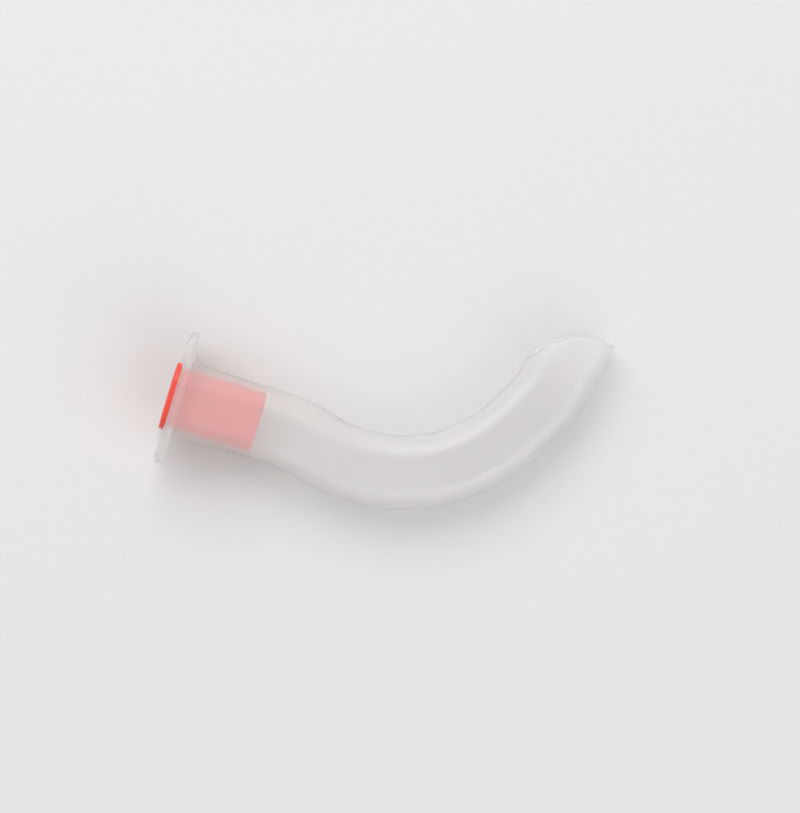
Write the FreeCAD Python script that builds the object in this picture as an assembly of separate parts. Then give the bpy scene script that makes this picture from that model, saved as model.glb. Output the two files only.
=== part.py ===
import FreeCAD, Part
import math
import os

# Oropharyngeal airway of the 100 mm size: a soft curved airway body with a flange, and a hard bite block
# pushed into its straight end. Lengths are in millimetres and angles in degrees.
#
# The airway is drawn with its bite portion along +X from the middle of the flange. Its curve lies in the
# XY plane and bends towards +Y, and its width is across Z. At the end it is turned onto its side as it
# comes to rest, with its lowest point at Z = 0 and the origin under the middle of its box.

# Mid-line of the channel, from the middle of the flange: the bite portion, the dip, the main curve, a short
# straight on whose side the airway comes to rest, and a tighter bend. Last comes the straight length of the
# tip's shorter side.
bite_length = 24.2
dip_radius = 38.0
dip_angle = 15.9
curve_radius = 38.7
curve_angle = 77.1
rest_length = 5.0
bend_radius = 28.5
bend_angle = 17.3
tip_straight = 0.4

# Outside of the channel: depth is measured across the curve in its plane, and width from side to side
root_depth = 18.0
root_width = 13.2
body_depth = 17.2
body_width = 12.4
side_round = 5.2
wall = 1.8

# Slanted tip: the wall on the inside of the curve is the shorter one. As seen from the side, the slant swells
# to an arc, which leaves that shorter wall at the angle tip_breakout.
tip_bevel = 38.5
tip_breakout = 9.0
tip_rim = 0.8
tip_inner_bevel = 0.4

# Flange, and how far it stands out from the root of the channel
flange_thickness = 2.2
flange_rise = 6.9
flange_side = 4.2
flange_corner = 8.8
flange_bevel = 0.7
root_bevel = 1.2

# Bite block: a hollow sleeve in a socket of the bite portion, with a lip seated on the front of the flange
socket_step = 0.4
socket_setback = 4.2
fit_gap = 0.05
sleeve_wall = 1.2
sleeve_bevel = 0.4
lip_overlap = 0.95
lip_thickness = 1.1
lip_bevel = 0.35
mouth_flare = 0.5

# Working values: how far cutting solids run past what they cut, the largest share of a thickness that one
# rounding or bevel may take, the fineness of the points that find the resting position, and the length below
# which things touch
run_out = 1.0
rim_share = 0.45
contact_fineness = 0.02
touching = 1e-3

X_AXIS = FreeCAD.Vector(1, 0, 0)
Y_AXIS = FreeCAD.Vector(0, 1, 0)
Z_AXIS = FreeCAD.Vector(0, 0, 1)


def turned(vector, angle):
    """The vector turned about +Z."""
    return FreeCAD.Rotation(Z_AXIS, angle).multVec(vector)


# Route of the mid-line: it dips away from the curve first, and the curve and the bend then bring it round to
# the tip
dip_centre = FreeCAD.Vector(bite_length, -dip_radius, 0)
dip_end = dip_centre + turned(Y_AXIS * dip_radius, -dip_angle)
curve_centre = dip_end + turned(Y_AXIS * curve_radius, -dip_angle)
rest_heading = curve_angle - dip_angle
rest_way = turned(X_AXIS * rest_length, rest_heading)
rest_end = curve_centre - turned(Y_AXIS * curve_radius, rest_heading) + rest_way
bend_centre = rest_end + turned(Y_AXIS * bend_radius, rest_heading)
tip_heading = rest_heading + bend_angle
tip_length = tip_straight + body_depth / 2 * math.tan(math.radians(tip_bevel))
tip_middle = bend_centre + turned(X_AXIS * tip_length - Y_AXIS * bend_radius, tip_heading)

# Slant of the tip, and the radius of the arc through both of its ends
half_slant = body_depth / 2 / math.cos(math.radians(tip_bevel))
half_arc = 90 - tip_bevel - tip_breakout
tip_round = half_slant / math.sin(math.radians(half_arc))

# Planes across the bite portion
flange_front = -flange_thickness / 2
flange_back = flange_thickness / 2
lip_front = flange_front - lip_thickness
sleeve_end = bite_length - socket_setback


class Outline:
    """Rounded rectangle across the channel: depth along Y, width along Z, and the radius of its corners."""

    def __init__(self, depth, width, corner):
        self.depth = depth
        self.width = width
        self.corner = min(corner, rim_share * depth, rim_share * width)

    def grown(self, by):
        """Outline of a wall laid on this one, or of this one's inner side for a negative thickness."""
        return Outline(self.depth + 2 * by, self.width + 2 * by, self.corner + by)

    def face(self, x):
        """Face of this outline across the X axis at x."""
        corner = FreeCAD.Vector(x, -self.depth / 2, -self.width / 2)
        block = Part.makeBox(run_out, self.depth, self.width, corner)
        long_edges = [edge for edge in block.Edges if edge.BoundBox.XLength > touching]
        block = block.makeFillet(self.corner, long_edges)
        return min(block.Faces, key=lambda face: face.CenterOfMass.x)

    def prism(self, start, end):
        """Solid of this outline along the X axis from start to end."""
        return self.face(start).extrude(X_AXIS * (end - start))

    def swept(self, overrun):
        """Solids from the dip to the straight tip, which runs past the tip's middle by overrun."""
        face = self.face(bite_length)
        dip = face.revolve(dip_centre, Z_AXIS, -dip_angle)
        face.rotate(dip_centre, Z_AXIS, -dip_angle)
        curve = face.revolve(curve_centre, Z_AXIS, curve_angle)
        face.rotate(curve_centre, Z_AXIS, curve_angle)
        rest = face.extrude(rest_way)
        face.translate(rest_way)
        bend = face.revolve(bend_centre, Z_AXIS, bend_angle)
        face.rotate(bend_centre, Z_AXIS, bend_angle)
        tip = face.extrude(turned(X_AXIS * (tip_length + overrun), tip_heading))
        return [dip, curve, rest, bend, tip]


root = Outline(root_depth, root_width, side_round)
channel = Outline(body_depth, body_width, side_round)
lumen = channel.grown(-wall)
socket = lumen.grown(socket_step)
sleeve = socket.grown(-fit_gap)
mouth = sleeve.grown(-sleeve_wall)
lip = sleeve.grown(lip_overlap)
flange = Outline(root_depth + 2 * flange_rise, root_width + 2 * flange_side, flange_corner)


def flat_edges(shape, x, outline):
    """Edges of the shape that lie in the plane at x and no further out than the outline."""
    found = []
    for edge in shape.Edges:
        box = edge.BoundBox
        in_plane = abs(box.XMin - x) + abs(box.XMax - x) < touching
        in_depth = max(-box.YMin, box.YMax) < outline.depth / 2 + touching
        in_width = max(-box.ZMin, box.ZMax) < outline.width / 2 + touching
        if in_plane and in_depth and in_width:
            found.append(edge)
    return found


def tip_cutter():
    """Solid that trims the channel to its slanted, rounded tip.

    It is drawn for a tip with its middle at the origin that points along +X, and then brought to its
    place. Its arc runs through both ends of the slant, so the arc's centre lies square behind the middle
    of the slant.
    """
    slant_start = -half_slant * math.sin(math.radians(tip_bevel))
    setback = tip_round * math.cos(math.radians(half_arc))
    arc_centre = turned(X_AXIS * -setback, tip_bevel)
    size = 3 * body_depth
    back = (arc_centre.x + slant_start) / 2
    beyond = Part.makeBox(size, size, size, FreeCAD.Vector(back, -size / 2, -size / 2))
    kept = Part.makeCylinder(tip_round, size, arc_centre - Z_AXIS * (size / 2), Z_AXIS)
    cutter = beyond.cut(kept)
    cutter.rotate(FreeCAD.Vector(), Z_AXIS, tip_heading)
    cutter.translate(tip_middle)
    return cutter


def tip_face(body):
    """Face at the end of the tip, which the cutter's arc leaves."""
    for face in body.Faces:
        if isinstance(face.Surface, Part.Cylinder) and abs(face.Surface.Radius - tip_round) < touching:
            return face
    raise ValueError("the tip has no end face")


def airway_body():
    """Flange, bite portion, curve and tip in one moulding."""
    bite = Part.makeLoft([root.face(0).OuterWire, channel.face(bite_length).OuterWire], True, True)
    outside = bite.fuse(channel.swept(body_depth)).cut(tip_cutter())

    plate = flange.prism(flange_front, flange_back)
    rim = flat_edges(plate, flange_front, flange) + flat_edges(plate, flange_back, flange)
    plate = plate.makeChamfer(min(flange_bevel, rim_share * flange_thickness), rim)
    body = plate.fuse(outside).removeSplitter()
    body = body.makeChamfer(root_bevel, flat_edges(body, flange_back, root))

    hollow = lumen.prism(flange_front - run_out, bite_length).fuse(lumen.swept(2 * body_depth))
    hollow = hollow.fuse(socket.prism(flange_front - run_out, sleeve_end + fit_gap)).removeSplitter()
    body = body.cut(hollow)

    body = body.makeFillet(min(tip_rim, rim_share * wall), tip_face(body).OuterWire.Edges)
    end = tip_face(body)
    inner_rim = [edge for wire in end.Wires if not wire.isSame(end.OuterWire) for edge in wire.Edges]
    return body.makeChamfer(min(tip_inner_bevel, rim_share * wall), inner_rim)


def bite_block():
    """Hollow sleeve with its lip against the front of the flange."""
    inserted = sleeve.prism(flange_front, sleeve_end)
    inserted = inserted.makeChamfer(sleeve_bevel, flat_edges(inserted, sleeve_end, sleeve))
    seated = lip.prism(lip_front, flange_front)
    seated = seated.makeChamfer(min(lip_bevel, rim_share * lip_thickness), flat_edges(seated, lip_front, lip))
    flared = [mouth.grown(mouth_flare).face(lip_front).OuterWire, mouth.face(lip_front + mouth_flare).OuterWire]
    opening = mouth.prism(lip_front - run_out, sleeve_end + run_out).fuse(Part.makeLoft(flared, True, True))
    return inserted.fuse(seated).cut(opening)


def level_side(start, end, point):
    """Positive where the point lies to the left of the line from start to end, as seen from above."""
    return (end - start).cross(point - start).z


def settled(shapes):
    """Placement that turns the shapes, let down on their side, onto the three points that carry them.

    They tip over one contact, then over the line through two. They go on over an edge of the three
    contacts for as long as the centre of mass lies beyond it.
    """
    points = [point for shape in shapes for point in shape.tessellate(contact_fineness)[0]]
    volume = sum(shape.Volume for shape in shapes)
    centre = FreeCAD.Vector()
    for shape in shapes:
        centre += shape.CenterOfMass * (shape.Volume / volume)

    place = FreeCAD.Placement()
    feet = [min(points, key=lambda point: point.z)]
    while len(feet) < 3:
        pivot = place.multVec(feet[0])
        lean = place.multVec(centre) - pivot
        axis = Z_AXIS.cross(lean) if len(feet) == 1 else place.multVec(feet[1]) - pivot
        axis = FreeCAD.Vector(axis.x, axis.y, 0).normalize()
        ahead = axis.cross(Z_AXIS)
        if ahead.dot(lean) < 0:
            axis, ahead = -axis, -ahead

        falls = []
        for point in points:
            offset = place.multVec(point) - pivot
            if ahead.dot(offset) > touching:
                falls.append((math.atan2(offset.z, ahead.dot(offset)), len(falls), point))
        fall, _, landed = min(falls)
        turn = FreeCAD.Rotation(axis, math.degrees(fall))
        place = FreeCAD.Placement(FreeCAD.Vector(), turn, pivot) * place
        feet.append(landed)

        if len(feet) == 3:
            first, second, third = [place.multVec(foot) for foot in feet]
            over = place.multVec(centre)
            if level_side(first, third, second) * level_side(first, third, over) < 0:
                feet = [feet[0], feet[2]]
            elif level_side(second, third, first) * level_side(second, third, over) < 0:
                feet = [feet[1], feet[2]]
    return place


def main():
    nodes = {"airway_body": airway_body().Solids[0], "bite_block": bite_block().Solids[0]}
    place = settled(nodes.values())
    for shape in nodes.values():
        shape.transformShape(place.toMatrix())
    box = Part.makeCompound(list(nodes.values())).optimalBoundingBox(False, False)
    under = FreeCAD.Vector(box.Center.x, box.Center.y, box.ZMin)
    os.makedirs("parts", exist_ok=True)
    for name, shape in nodes.items():
        shape.translate(-under)
        shape.exportStep(f"parts/{name}.step")
        print(name, shape.ShapeType, shape.isValid(), round(shape.Volume), "mm3")
    print("box", round(box.XLength, 2), round(box.YLength, 2), round(box.ZLength, 2))


main()
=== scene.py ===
import math

import bmesh
import bpy
from mathutils import Matrix, Vector


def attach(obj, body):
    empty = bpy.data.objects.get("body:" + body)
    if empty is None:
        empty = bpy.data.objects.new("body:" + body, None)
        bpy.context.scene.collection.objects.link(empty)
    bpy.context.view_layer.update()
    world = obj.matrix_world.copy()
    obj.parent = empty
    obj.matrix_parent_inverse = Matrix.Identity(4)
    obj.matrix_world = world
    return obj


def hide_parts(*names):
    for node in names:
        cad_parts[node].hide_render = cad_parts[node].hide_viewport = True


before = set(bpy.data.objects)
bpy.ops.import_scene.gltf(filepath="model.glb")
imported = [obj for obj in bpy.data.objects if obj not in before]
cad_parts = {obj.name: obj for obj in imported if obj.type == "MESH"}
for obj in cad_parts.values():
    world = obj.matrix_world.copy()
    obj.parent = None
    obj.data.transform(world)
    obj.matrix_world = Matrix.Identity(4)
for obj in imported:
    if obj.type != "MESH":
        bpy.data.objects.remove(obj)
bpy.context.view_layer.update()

# Lengths are in metres. The airway is modelled straight, with its bite portion along +X from the middle of
# the flange, its depth along Y and its width along Z. It is then bent along the mid-line of its channel, and
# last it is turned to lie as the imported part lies.
MM = 0.001

# Mid-line of the channel, from the middle of the flange: the bite portion, the dip, the main curve, a short
# straight, a tighter bend, and the straight length of the tip's shorter side
BITE_LENGTH = 24.2 * MM
DIP_RADIUS = 38.0 * MM
DIP_ANGLE = math.radians(15.9)
CURVE_RADIUS = 38.7 * MM
CURVE_ANGLE = math.radians(77.1)
REST_LENGTH = 5.0 * MM
BEND_RADIUS = 28.5 * MM
BEND_ANGLE = math.radians(17.3)
TIP_STRAIGHT = 0.4 * MM

# Outside of the channel and its wall
ROOT_DEPTH = 18.0 * MM
ROOT_WIDTH = 13.2 * MM
BODY_DEPTH = 17.2 * MM
BODY_WIDTH = 12.4 * MM
SIDE_ROUND = 5.2 * MM
WALL = 1.8 * MM

# Slanted tip, and how long a stretch before its end is drawn with it
TIP_BEVEL = math.radians(38.5)
TIP_BREAKOUT = math.radians(9.0)
TIP_RIM = 0.8 * MM
TIP_INNER_RIM = 0.5 * MM
TIP_ZONE = 20 * MM

# Flange
FLANGE_FRONT = -1.1 * MM
FLANGE_BACK = 1.1 * MM
FLANGE_RISE = 6.9 * MM
FLANGE_SIDE = 4.2 * MM
FLANGE_CORNER = 8.8 * MM
FLANGE_RIM = 0.85 * MM
ROOT_FILLET = 1.2 * MM

# Bite block and its socket
SOCKET_STEP = 0.4 * MM
SLEEVE_END = BITE_LENGTH - 4.2 * MM
FIT_GAP = 0.05 * MM
SLEEVE_WALL = 1.2 * MM
SLEEVE_RIM = 0.4 * MM
LIP_OVERLAP = 0.95 * MM
LIP_FRONT = -2.2 * MM
LIP_RIM = 0.42 * MM
MOUTH_RIM = 0.6 * MM

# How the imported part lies: its axes and the middle of its flange
LIES_ALONG = Vector((0.997812, 0.002157, -0.066078))
LIES_ACROSS = Vector((0.000246, 0.99934, 0.036327))
LIES_UP = Vector((0.066113, -0.036264, 0.997153))
FLANGE_CENTRE = Vector((-46.4575, -13.3101, 11.0601)) * MM

# Fineness of the meshes. An edge of a ring that is longer than FLAT_CHORDS chords of its corners is a flat.
CORNER_SEGMENTS = 12
FLAT_CHORDS = 1.5
FLAT_CUTS = 3
RING_STEP = 1.3 * MM
TIP_STEPS = 18
RIM_STEPS = 5
FINE_RIM_STEPS = 4
SLEEVE_RIM_STEPS = 3
SHARP_ANGLE = math.radians(45)

# Rings on the flat faces of the flange and the lip, and close behind the flange, which keep the quads beside
# the rounded edges even
FLAT_EDGE = 1.2 * MM
FRONT_STEPS = 3
ROOT_REACH = 1.6 * MM
BACK_STEPS = 2
LIP_MIDDLE = 1.1 * MM

# Parting line of the mould: its rise, its half width as a share of half the narrow side's flat, and its ends
SEAM_RISE = 0.04 * MM
SEAM_SHARE = 0.15
SEAM_START = 6 * MM
SEAM_SHORT_OF_TIP = 30 * MM

# Rise of the moulded surface's grain
GRAIN_RISE = 0.05 * MM

# Differences below which shares are equal, a point lies on the middle plane, and two points are one
CLOSE_SHARE = 0.01
ON_PLANE = 0.01 * MM
WELD = 0.001 * MM


def turned(vector, angle):
    """The vector turned about +Z."""
    return Matrix.Rotation(angle, 3, "Z") @ vector


# Stretches of the mid-line up to the straight tip: the length and the turn of each
STRETCHES = (
    (BITE_LENGTH, 0),
    (DIP_RADIUS * DIP_ANGLE, -DIP_ANGLE),
    (CURVE_RADIUS * CURVE_ANGLE, CURVE_ANGLE),
    (REST_LENGTH, 0),
    (BEND_RADIUS * BEND_ANGLE, BEND_ANGLE),
)
TIP_LENGTH = TIP_STRAIGHT + BODY_DEPTH / 2 * math.tan(TIP_BEVEL)
TIP_STOP = sum(length for length, turn in STRETCHES) + TIP_LENGTH

# Half of the slant, and the arc through both of its ends that the tip's face follows
HALF_SLANT = BODY_DEPTH / 2 / math.cos(TIP_BEVEL)
HALF_ARC = math.pi / 2 - TIP_BEVEL - TIP_BREAKOUT
TIP_ROUND = HALF_SLANT / math.sin(HALF_ARC)
TIP_SETBACK = Vector((-TIP_ROUND * math.cos(HALF_ARC), 0, 0))
TIP_ARC = Vector((TIP_STOP, 0, 0)) + turned(TIP_SETBACK, TIP_BEVEL)


def went(place, heading, length, turn):
    """Where the mid-line comes to, and where it then heads, after this much of a stretch."""
    if turn:
        arm = Vector((0, length / turn, 0))
        return place + turned(arm, heading) - turned(arm, heading + turn), heading + turn
    return place + turned(Vector((length, 0, 0)), heading), heading


def bent(point):
    """Place on the bent airway of a point of the straight one."""
    place, heading = Vector((0, 0, point.z)), 0
    left = point.x
    for length, turn in STRETCHES:
        share = min(left / length, 1)
        place, heading = went(place, heading, length * share, turn * share)
        left -= length * share
        if left <= 0:
            break
    place, heading = went(place, heading, left, 0)
    return place + turned(Vector((0, point.y, 0)), heading)


class Oval:
    """Rounded rectangle across the channel: depth along Y, width along Z, and the radius of its corners."""

    def __init__(self, depth, width, corner):
        self.depth = depth
        self.width = width
        self.corner = corner
        self.flats = Vector((0, depth / 2 - corner, width / 2 - corner))

    def grown(self, by):
        """Outline of a wall laid on this one, or of this one's inner side for a negative thickness."""
        return Oval(self.depth + 2 * by, self.width + 2 * by, self.corner + by)

    def towards(self, other, share):
        """Outline that share of the way to the other one."""
        sizes = zip((self.depth, self.width, self.corner), (other.depth, other.width, other.corner))
        return Oval(*[mine + (its - mine) * share for mine, its in sizes])

    def point(self, x, flat, out):
        """Point of this outline at x, from its share of the flats and its direction out of the corner."""
        y = flat.y * self.flats.y + out.y * self.corner
        z = flat.z * self.flats.z + out.z * self.corner
        return Vector((x, y, z))


channel = Oval(BODY_DEPTH, BODY_WIDTH, SIDE_ROUND)
root = Oval(ROOT_DEPTH, ROOT_WIDTH, SIDE_ROUND)
lumen = channel.grown(-WALL)
socket = lumen.grown(SOCKET_STEP)
sleeve = socket.grown(-FIT_GAP)
mouth = sleeve.grown(-SLEEVE_WALL)
lip = sleeve.grown(LIP_OVERLAP)
flange = Oval(ROOT_DEPTH + 2 * FLANGE_RISE, ROOT_WIDTH + 2 * FLANGE_SIDE, FLANGE_CORNER)


class Skin:
    """Closed skin of a hollow moulding, drawn on from ring to ring until it meets its first one again.

    Each point keeps its share of the flat sides and its direction out of the corner, so that it finds its
    place on any oval. On the narrow sides, the points half-way out from the middle of the flat are brought
    in beside the parting line.
    """

    def __init__(self, x, oval):
        self.bm = bmesh.new()
        self.flat = self.bm.verts.layers.float_vector.new("flat")
        self.out = self.bm.verts.layers.float_vector.new("out")
        self.x = x
        self.oval = oval
        signs = ((1, 1), (-1, 1), (-1, -1), (1, -1))
        corners = [self.bm.verts.new((x, y * oval.depth / 2, z * oval.width / 2)) for y, z in signs]
        self.bm.faces.new(corners)
        bmesh.ops.bevel(
            self.bm, geom=corners, offset=oval.corner, offset_type="OFFSET", segments=CORNER_SEGMENTS,
            profile=0.5, affect="VERTICES", material=-1,
        )
        bmesh.ops.delete(self.bm, geom=self.bm.faces[:], context="FACES_ONLY")
        chord = oval.corner * math.pi / 2 / CORNER_SEGMENTS
        flats = [edge for edge in self.bm.edges if edge.calc_length() > FLAT_CHORDS * chord]
        bmesh.ops.subdivide_edges(self.bm, edges=flats, cuts=FLAT_CUTS)
        for vert in self.bm.verts:
            y, z = [max(-most, min(most, at)) for at, most in zip(vert.co.yz, oval.flats.yz)]
            vert[self.out] = (vert.co - Vector((x, y, z))) / oval.corner
            share = z / oval.flats.z
            if abs(abs(share) - 0.5) < CLOSE_SHARE:
                share = math.copysign(SEAM_SHARE, z)
            vert[self.flat] = (0, y / oval.flats.y, share)
            vert.co = oval.point(x, vert[self.flat], vert[self.out])
        self.edges = self.bm.edges[:]

    def drawn(self, place, steps):
        """Draws the ring on in steps, to where place puts each point at that share of the way."""
        for step in range(1, steps + 1):
            made = bmesh.ops.extrude_edge_only(self.bm, edges=self.edges)["geom"]
            fresh = {item for item in made if isinstance(item, bmesh.types.BMVert)}
            for vert in fresh:
                vert.co = place(vert[self.flat], vert[self.out], step / steps)
            lines = [item for item in made if isinstance(item, bmesh.types.BMEdge)]
            self.edges = [line for line in lines if set(line.verts) <= fresh]
        return self.edges

    def to(self, x, oval, steps=1):
        """Draws the ring on to the oval at x."""
        start, before = self.x, self.oval

        def place(flat, out, share):
            return before.towards(oval, share).point(start + (x - start) * share, flat, out)

        self.x = x
        self.oval = oval
        return self.drawn(place, steps)

    def closed(self):
        """Joins the last ring to the first one."""
        bmesh.ops.remove_doubles(self.bm, verts=self.bm.verts[:], dist=WELD)
        bmesh.ops.recalc_face_normals(self.bm, faces=self.bm.faces[:])

    def rounded(self, edges, radius, segments):
        """Rounds these edges."""
        bmesh.ops.bevel(
            self.bm, geom=edges, offset=radius, offset_type="OFFSET", segments=segments, profile=0.5,
            affect="EDGES", clamp_overlap=True, material=-1,
        )


def bite_oval(x):
    """Outside of the bite portion, which tapers a little from the root to the channel."""
    return root.towards(channel, x / BITE_LENGTH)


def rim_centre(oval, radius, flat, out):
    """Centre of the ball that rolls along a rim of the tip, on the oval and under the arc of the slant."""
    place = oval.point(0, flat, out)
    reach = math.sqrt((TIP_ROUND - radius) ** 2 - (place.y - TIP_ARC.y) ** 2)
    return Vector((TIP_ARC.x + reach, place.y, place.z))


def ahead_of(centre):
    """Direction square to the slant's arc at this centre."""
    return Vector((centre.x - TIP_ARC.x, centre.y - TIP_ARC.y, 0)).normalized()


def draw_tip(skin):
    """Draws the skin over the tip: round its outer rim, down the end of the wall and round its inner rim."""
    outer = channel.grown(-TIP_RIM)
    inner = lumen.grown(TIP_INNER_RIM)
    start = skin.x

    def out_to_rim(flat, out, share):
        end = rim_centre(outer, TIP_RIM, flat, out).x
        return channel.point(start + (end - start) * share, flat, out)

    def round_rim(flat, out, share):
        centre = rim_centre(outer, TIP_RIM, flat, out)
        return centre + out.slerp(ahead_of(centre), share) * TIP_RIM

    def down_wall(flat, out, share):
        first = rim_centre(outer, TIP_RIM, flat, out)
        last = rim_centre(inner, TIP_INNER_RIM, flat, out)
        turns = [math.atan2(centre.y - TIP_ARC.y, centre.x - TIP_ARC.x) for centre in (first, last)]
        turn = turns[0] + (turns[1] - turns[0]) * share
        z = first.z + (last.z - first.z) * share
        return Vector((TIP_ARC.x + TIP_ROUND * math.cos(turn), TIP_ARC.y + TIP_ROUND * math.sin(turn), z))

    def round_inner_rim(flat, out, share):
        centre = rim_centre(inner, TIP_INNER_RIM, flat, out)
        return centre + ahead_of(centre).slerp(-out, share) * TIP_INNER_RIM

    def back_from_rim(flat, out, share):
        end = rim_centre(inner, TIP_INNER_RIM, flat, out).x
        return lumen.point(end + (start - end) * share, flat, out)

    skin.drawn(out_to_rim, TIP_STEPS)
    skin.drawn(round_rim, RIM_STEPS)
    skin.drawn(down_wall, RIM_STEPS)
    skin.drawn(round_inner_rim, FINE_RIM_STEPS)
    skin.drawn(back_from_rim, TIP_STEPS)
    skin.oval = lumen


def steps_for(length):
    """Number of rings along this length."""
    return max(1, round(length / RING_STEP))


def raise_seam(skin):
    """Raises the parting line, a fine ridge on both narrow sides of the channel that ends before the tip."""
    for vert in skin.bm.verts:
        on_plane = abs(vert.co.z) < ON_PLANE
        outside = abs(vert.co.y) > (BODY_DEPTH - WALL) / 2
        if on_plane and outside and SEAM_START < vert.co.x < TIP_STOP - SEAM_SHORT_OF_TIP:
            vert.co.y += math.copysign(SEAM_RISE, vert.co.y)


def airway_skin():
    """Airway body: down the outside, over the tip, back up the lumen and the socket, and over the flange."""
    skin = Skin(BITE_LENGTH, channel)
    zone = TIP_STOP - TIP_ZONE
    skin.to(zone, channel, steps_for(zone - BITE_LENGTH))
    draw_tip(skin)
    step = SLEEVE_END + FIT_GAP
    skin.to(step, lumen, steps_for(zone - step))
    skin.to(step, socket)
    skin.to(FLANGE_FRONT, socket, steps_for(step))
    skin.to(FLANGE_FRONT, flange.grown(-FLAT_EDGE), FRONT_STEPS)
    rims = skin.to(FLANGE_FRONT, flange)
    rims += skin.to(FLANGE_BACK, flange)
    skin.to(FLANGE_BACK, flange.grown(-FLAT_EDGE))
    foot = bite_oval(FLANGE_BACK)
    skin.to(FLANGE_BACK, foot.grown(ROOT_REACH), BACK_STEPS)
    corner = skin.to(FLANGE_BACK, foot)
    after = FLANGE_BACK + ROOT_REACH
    skin.to(after, bite_oval(after))
    skin.to(BITE_LENGTH, channel, steps_for(BITE_LENGTH - after))
    skin.closed()
    skin.rounded(rims, FLANGE_RIM, RIM_STEPS)
    skin.rounded(corner, ROOT_FILLET, RIM_STEPS)
    raise_seam(skin)
    return skin


def block_skin():
    """Bite block: down the sleeve, back up its mouth, over the lip and down to where it began."""
    middle = SLEEVE_END / 2
    skin = Skin(middle, sleeve)
    end = skin.to(SLEEVE_END, sleeve, steps_for(SLEEVE_END - middle))
    skin.to(SLEEVE_END, mouth)
    opening = skin.to(LIP_FRONT, mouth, steps_for(SLEEVE_END - LIP_FRONT))
    skin.to(LIP_FRONT, mouth.grown(LIP_MIDDLE))
    rim = skin.to(LIP_FRONT, lip)
    skin.to(FLANGE_FRONT, lip)
    skin.to(FLANGE_FRONT, sleeve)
    skin.to(middle, sleeve, steps_for(middle))
    skin.closed()
    skin.rounded(rim, LIP_RIM, FINE_RIM_STEPS)
    skin.rounded(opening, MOUTH_RIM, RIM_STEPS)
    skin.rounded(end, SLEEVE_RIM, SLEEVE_RIM_STEPS)
    return skin


def piece(skin, name, node, material):
    """Finishes a piece: bends it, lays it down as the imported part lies, and lets it stand for its node."""
    bm = skin.bm
    straight = bm.verts.layers.float_vector.new("straight")
    for vert in bm.verts:
        vert[straight] = vert.co
        vert.co = bent(vert.co)
    lies = Matrix((LIES_ALONG, LIES_ACROSS, LIES_UP)).transposed().to_4x4()
    bmesh.ops.transform(bm, matrix=Matrix.Translation(FLANGE_CENTRE) @ lies, verts=bm.verts[:])
    bmesh.ops.recalc_face_normals(bm, faces=bm.faces[:])
    for face in bm.faces:
        face.smooth = True
    mesh = bpy.data.meshes.new(name)
    bm.to_mesh(mesh)
    bm.free()
    mesh.set_sharp_from_angle(angle=SHARP_ANGLE)
    obj = bpy.data.objects.new(name, mesh)
    bpy.context.scene.collection.objects.link(obj)
    mesh.materials.append(material)
    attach(obj, "root")
    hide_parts(node)


# Sockets of a Mix node that hold its factor, its two colours and its result when it mixes colours
MIX_INPUTS = (0, 6, 7)
MIX_OUTPUT = 2


class Sock:
    """Output of a node. Operators on it add Math nodes."""

    def __init__(self, shop, socket):
        self.shop = shop
        self.socket = socket

    def __add__(self, other):
        return self.shop.node("Math", {"operation": "ADD"}, self, other)

    __radd__ = __add__

    def __mul__(self, other):
        return self.shop.node("Math", {"operation": "MULTIPLY"}, self, other)

    __rmul__ = __mul__


class Finish:
    """A material and its nodes."""

    def __init__(self, name):
        self.material = bpy.data.materials.new(name)
        self.material.use_nodes = True
        self.tree = self.material.node_tree
        self.tree.nodes.clear()

    def node(self, kind, settings, *inputs, **named):
        """Adds a node, sets its settings, then its inputs in order and by name. Gives its first output."""
        made = self.tree.nodes.new("ShaderNode" + kind)
        for key, value in settings.items():
            setattr(made, key, value)
        for index, value in enumerate(inputs):
            self.feed(made.inputs[index], value)
        for name, value in named.items():
            self.feed(made.inputs[name.replace("_", " ")], value)
        self.last = made
        return Sock(self, made.outputs[0])

    def feed(self, target, value):
        """Links an output to the input, or sets the input's value."""
        if isinstance(value, Sock):
            self.tree.links.new(value.socket, target)
        else:
            target.default_value = value

    def out(self, name):
        """Output by name of the node that was added last."""
        return Sock(self, self.last.outputs[name])

    def mix(self, share, first, second):
        """Colour that share of the way from the first colour to the second."""
        made = self.tree.nodes.new("ShaderNodeMix")
        made.data_type = "RGBA"
        for socket_index, value in zip(MIX_INPUTS, (share, first, second)):
            self.feed(made.inputs[socket_index], value)
        return Sock(self, made.outputs[MIX_OUTPUT])

    def surface(self, shader):
        """Finished material with this shader on its surface."""
        out = self.tree.nodes.new("ShaderNodeOutputMaterial")
        self.tree.links.new(shader.socket, out.inputs["Surface"])
        return self.material


def moulded(finish, streaks_per_metre):
    """Streaks that the melt left along the channel, cloudiness, and a bump of fine grain."""
    finish.node("Attribute", {"attribute_name": "straight", "attribute_type": "GEOMETRY"})
    straight = finish.out("Vector")
    stretched = finish.node("VectorMath", {"operation": "MULTIPLY"}, straight, streaks_per_metre)
    streaks = finish.node("TexNoise", {}, stretched, Scale=1.0, Detail=4.0, Roughness=0.6)
    finish.node("TexCoord", {})
    place = finish.out("Object")
    cloud = finish.node("TexNoise", {}, place, Scale=110.0, Detail=3.0, Roughness=0.55)
    grain = finish.node("TexNoise", {}, place, Scale=2600.0, Detail=2.0)
    bump = finish.node("Bump", {}, Strength=0.2, Distance=GRAIN_RISE, Height=grain)
    return streaks, cloud, bump


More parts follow.
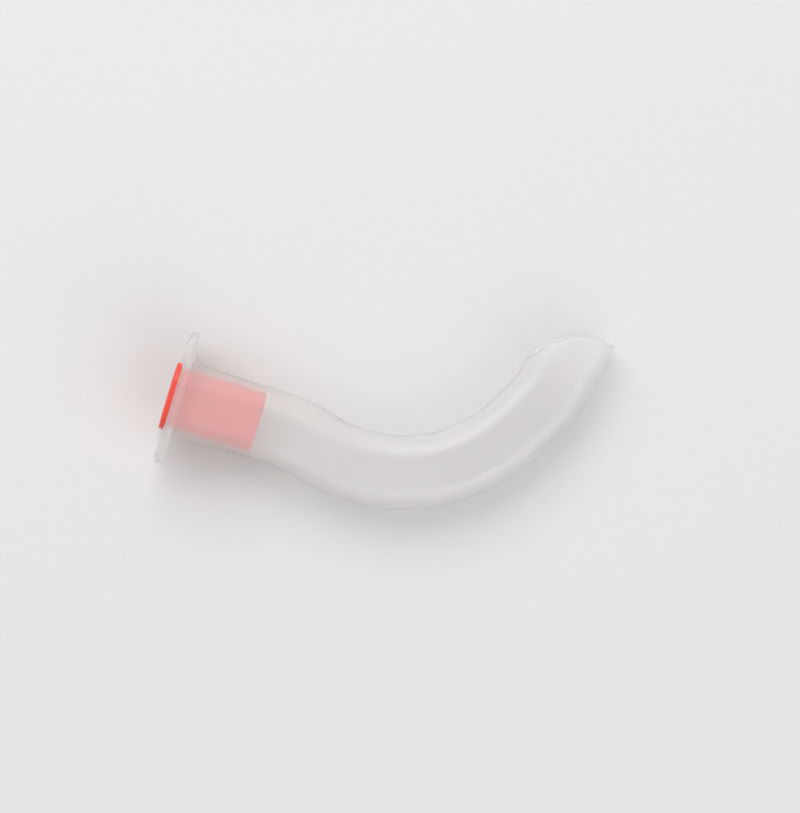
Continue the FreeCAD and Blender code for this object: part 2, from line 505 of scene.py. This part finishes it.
def soft_polyethylene():
    """Milky, see-through and satin, with a clearer skin."""
    finish = Finish("soft_polyethylene")
    streaks, cloud, bump = moulded(finish, streaks_per_metre=(55.0, 420.0, 420.0))
    tone = streaks * 0.6 + cloud * 0.4
    colour = finish.mix(tone, (0.97, 0.945, 0.935, 1), (1.0, 0.985, 0.98, 1))
    shader = finish.node(
        "BsdfPrincipled", {}, Base_Color=colour, Roughness=0.27 + tone * 0.16, IOR=1.12, Alpha=0.64,
        Transmission_Weight=0.6, Subsurface_Weight=1.0, Subsurface_Radius=(1.0, 1.0, 1.0),
        Subsurface_Scale=2 * MM, Coat_Weight=0.6, Coat_Roughness=0.2, Coat_IOR=1.5, Normal=bump,
    )
    return finish.surface(shader)


def red_plastic():
    """Opaque red with a smooth satin gloss."""
    finish = Finish("red_plastic")
    streaks, cloud, bump = moulded(finish, streaks_per_metre=(70.0, 500.0, 500.0))
    tone = streaks * 0.5 + cloud * 0.5
    colour = finish.mix(tone, (0.90, 0.06, 0.035, 1), (0.96, 0.10, 0.065, 1))
    shader = finish.node(
        "BsdfPrincipled", {}, Base_Color=colour, Roughness=0.30 + tone * 0.14, IOR=1.5, Normal=bump,
    )
    return finish.surface(shader)


def pale_floor():
    """Matt and nearly white, with a little tone."""
    finish = Finish("pale_floor")
    finish.node("TexCoord", {})
    fibres = finish.node("TexNoise", {}, finish.out("Object"), Scale=400.0, Detail=4.0, Roughness=0.6)
    colour = finish.mix(fibres, (0.785, 0.775, 0.77, 1), (0.815, 0.805, 0.80, 1))
    shader = finish.node("BsdfPrincipled", {}, Base_Color=colour, Roughness=0.9)
    return finish.surface(shader)


piece(airway_skin(), "airway_moulding", "airway_body", soft_polyethylene())
piece(block_skin(), "bite_block_moulding", "bite_block", red_plastic())

# Floor
FLOOR_HALF = 2.0
bm = bmesh.new()
bmesh.ops.create_grid(bm, x_segments=1, y_segments=1, size=FLOOR_HALF)
mesh = bpy.data.meshes.new("floor")
bm.to_mesh(mesh)
bm.free()
floor = bpy.data.objects.new("floor", mesh)
bpy.context.scene.collection.objects.link(floor)
mesh.materials.append(pale_floor())

# Camera, straight above. The bite portion runs down to the right by the angle it has in the picture.
VIEW_TURN = math.radians(17.04)
PIXELS_PER_MM = 4.24
PICTURE_WIDTH = 800
VIEW_DISTANCE = 1.2
VIEW_CENTRE = Vector((4.44, 0.1, 11.0)) * MM
CLIP_START = 0.01
camera = bpy.data.objects.new("camera", bpy.data.cameras.new("camera"))
bpy.context.scene.collection.objects.link(camera)
camera.data.sensor_fit = "HORIZONTAL"
camera.data.lens = camera.data.sensor_width * VIEW_DISTANCE / (PICTURE_WIDTH / PIXELS_PER_MM * MM)
camera.data.clip_start = CLIP_START
camera.location = VIEW_CENTRE + Vector((0, 0, VIEW_DISTANCE))
camera.rotation_euler = (0, 0, VIEW_TURN)
bpy.context.scene.camera = camera


def softbox(name, size, power, location):
    """Oblong lamp of this size and power in watts that faces the part."""
    lamp = bpy.data.lights.new(name, "AREA")
    lamp.shape = "RECTANGLE"
    lamp.size, lamp.size_y = size
    lamp.energy = power
    obj = bpy.data.objects.new(name, lamp)
    obj.location = location
    obj.rotation_euler = (-Vector(location)).to_track_quat("-Z", "Y").to_euler()
    bpy.context.scene.collection.objects.link(obj)


softbox("key", size=(1.2, 1.0), power=11.7, location=(-0.55, 0.75, 1.0))
softbox("fill", size=(1.4, 1.0), power=6, location=(0.9, -0.7, 0.9))

# Even light from all round
WORLD_STRENGTH = 0.48
world = bpy.data.worlds.new("studio")
bpy.context.scene.world = world
world.use_nodes = True
background = world.node_tree.nodes["Background"]
background.inputs["Color"].default_value = (1, 1, 1, 1)
background.inputs["Strength"].default_value = WORLD_STRENGTH

bpy.context.scene.view_settings.view_transform = "Standard"
